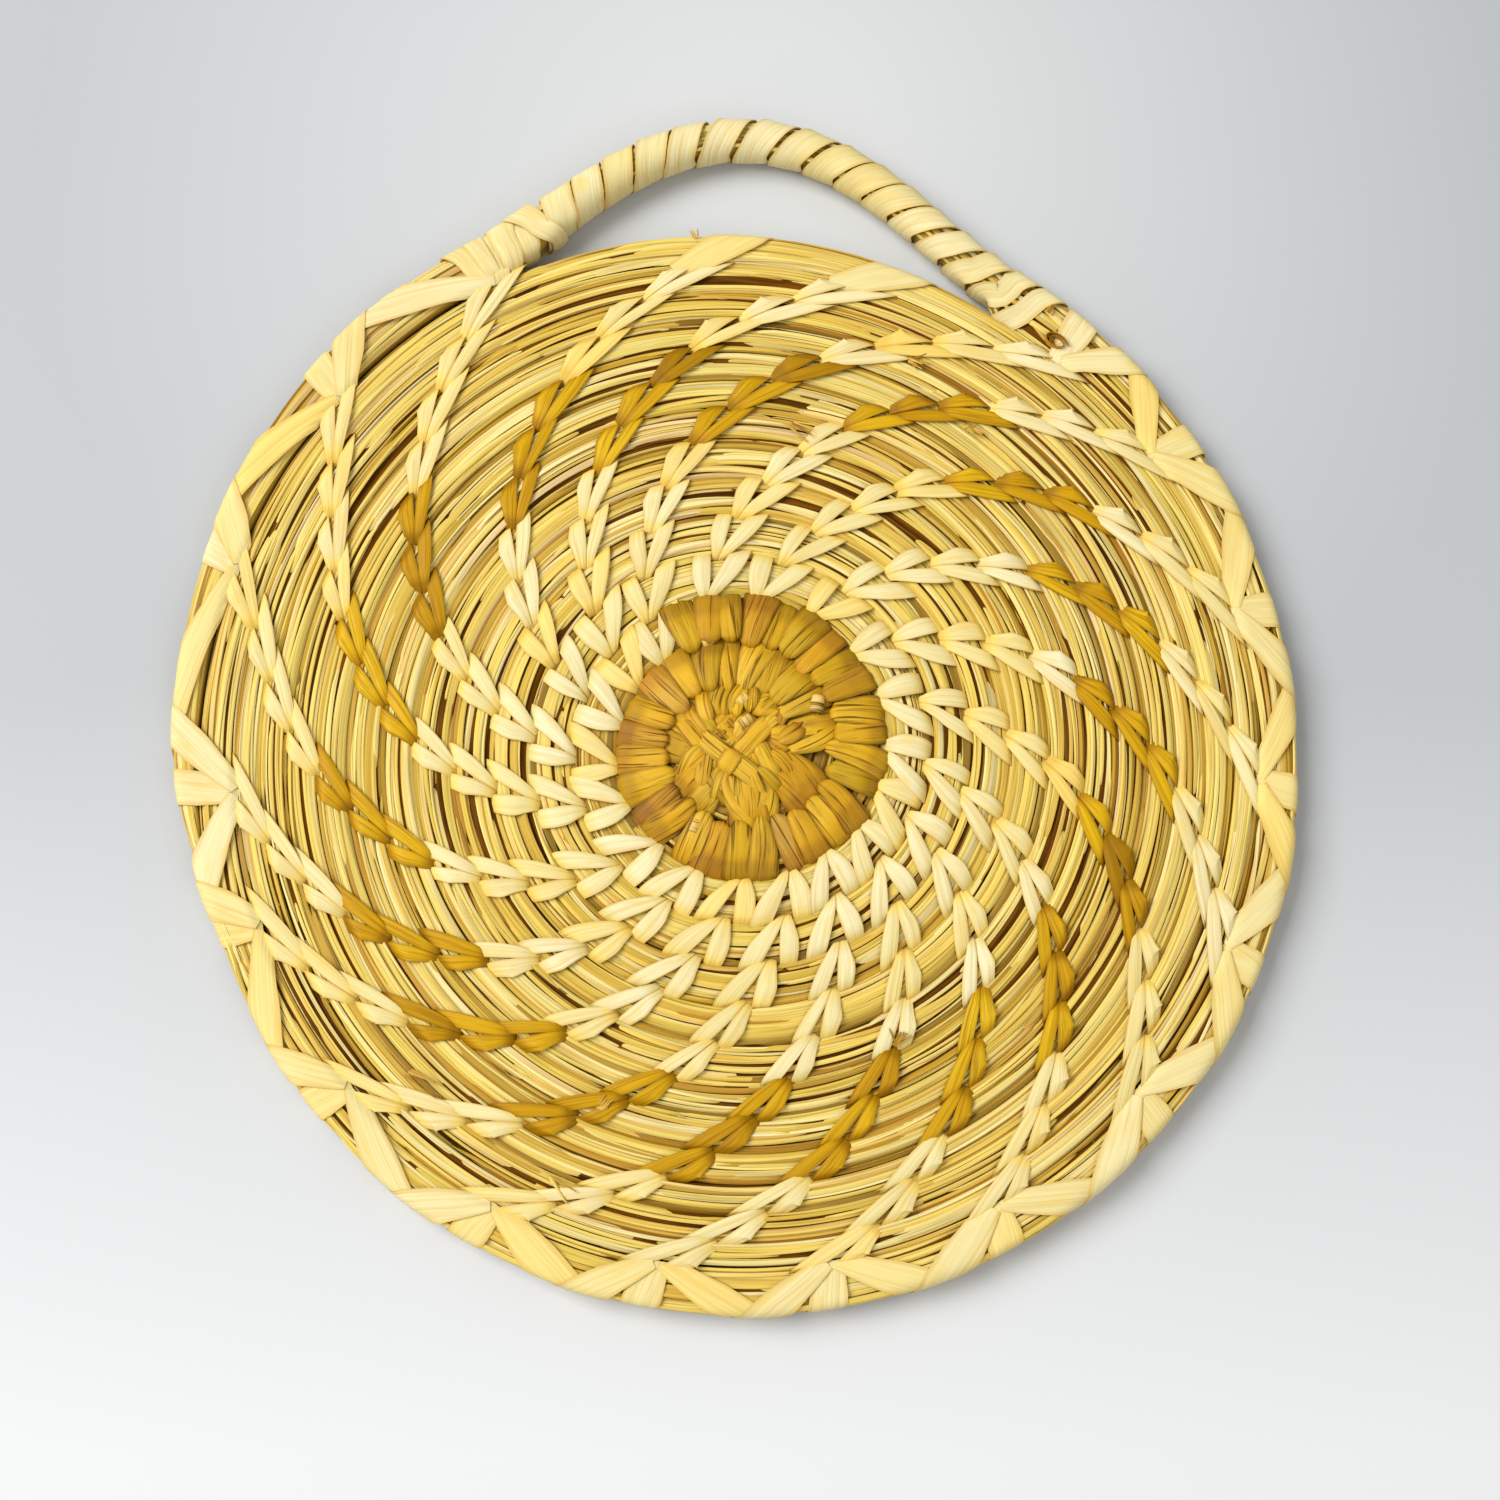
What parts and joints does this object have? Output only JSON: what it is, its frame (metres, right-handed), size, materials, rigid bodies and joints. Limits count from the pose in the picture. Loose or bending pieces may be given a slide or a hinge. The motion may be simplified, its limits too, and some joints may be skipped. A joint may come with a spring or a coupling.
{
  "type": "coiled basket plaque",
  "caption": "Flat round coiled basket plaque: a spiral of grass sewn with split leaf stitches in curving chains, with a wrapped loop handle at the rim.",
  "frame": {"origin": "centre of the disc on the back plane, under the start button", "axes": "+Z out of the decorated face, +Y from the centre towards the handle, +X to the right seen from the face"},
  "size_m": [0.2842, 0.3113, 0.0125],
  "materials": {
    "grass": "dry straw, satin",
    "cream_leaf": "split leaf, satin",
    "gold_leaf": "split leaf, satin"
  },
  "bodies": {
    "root": {"foundation_coil": "grass", "start_button": "gold_leaf", "centre_winding": "gold_leaf", "stitch_chain_01_inner": "cream_leaf", "stitch_chain_01_gold": "gold_leaf", "rim_tie_01": "cream_leaf", "stitch_chain_02_inner": "cream_leaf", "stitch_chain_02_gold": "gold_leaf", "rim_tie_02": "cream_leaf", "stitch_chain_03_inner": "cream_leaf", "stitch_chain_03_gold": "gold_leaf", "rim_tie_03": "cream_leaf", "stitch_chain_04_inner": "cream_leaf", "stitch_chain_04_gold": "gold_leaf", "rim_tie_04": "cream_leaf", "stitch_chain_05_inner": "cream_leaf", "stitch_chain_05_gold": "gold_leaf", "rim_tie_05": "cream_leaf", "stitch_chain_06_inner": "cream_leaf", "stitch_chain_06_gold": "gold_leaf", "rim_tie_06": "cream_leaf", "stitch_chain_07_inner": "cream_leaf", "stitch_chain_07_gold": "gold_leaf", "rim_tie_07": "cream_leaf", "stitch_chain_08_inner": "cream_leaf", "stitch_chain_08_gold": "gold_leaf", "rim_tie_08": "cream_leaf", "stitch_chain_09_inner": "cream_leaf", "stitch_chain_09_gold": "gold_leaf", "rim_tie_09": "cream_leaf", "stitch_chain_10_inner": "cream_leaf", "stitch_chain_10_gold": "gold_leaf", "rim_tie_10": "cream_leaf", "stitch_chain_11_inner": "cream_leaf", "stitch_chain_11_gold": "gold_leaf", "rim_tie_11": "cream_leaf", "stitch_chain_12_inner": "cream_leaf", "stitch_chain_12_gold": "gold_leaf", "rim_tie_12": "cream_leaf", "stitch_chain_13_inner": "cream_leaf", "stitch_chain_13_gold": "gold_leaf", "rim_tie_13": "cream_leaf", "stitch_chain_14_inner": "cream_leaf", "stitch_chain_14_gold": "gold_leaf", "rim_tie_14": "cream_leaf", "stitch_chain_15_inner": "cream_leaf", "stitch_chain_15_gold": "gold_leaf", "rim_tie_15": "cream_leaf", "stitch_chain_16_inner": "cream_leaf", "stitch_chain_16_gold": "gold_leaf", "rim_tie_16": "cream_leaf", "stitch_chain_17_inner": "cream_leaf", "stitch_chain_17_gold": "gold_leaf", "rim_tie_17": "cream_leaf", "stitch_chain_18_inner": "cream_leaf", "stitch_chain_18_gold": "gold_leaf", "rim_tie_18": "cream_leaf", "handle_core": "grass", "handle_wrap": "cream_leaf"}
  },
  "joints": []
}
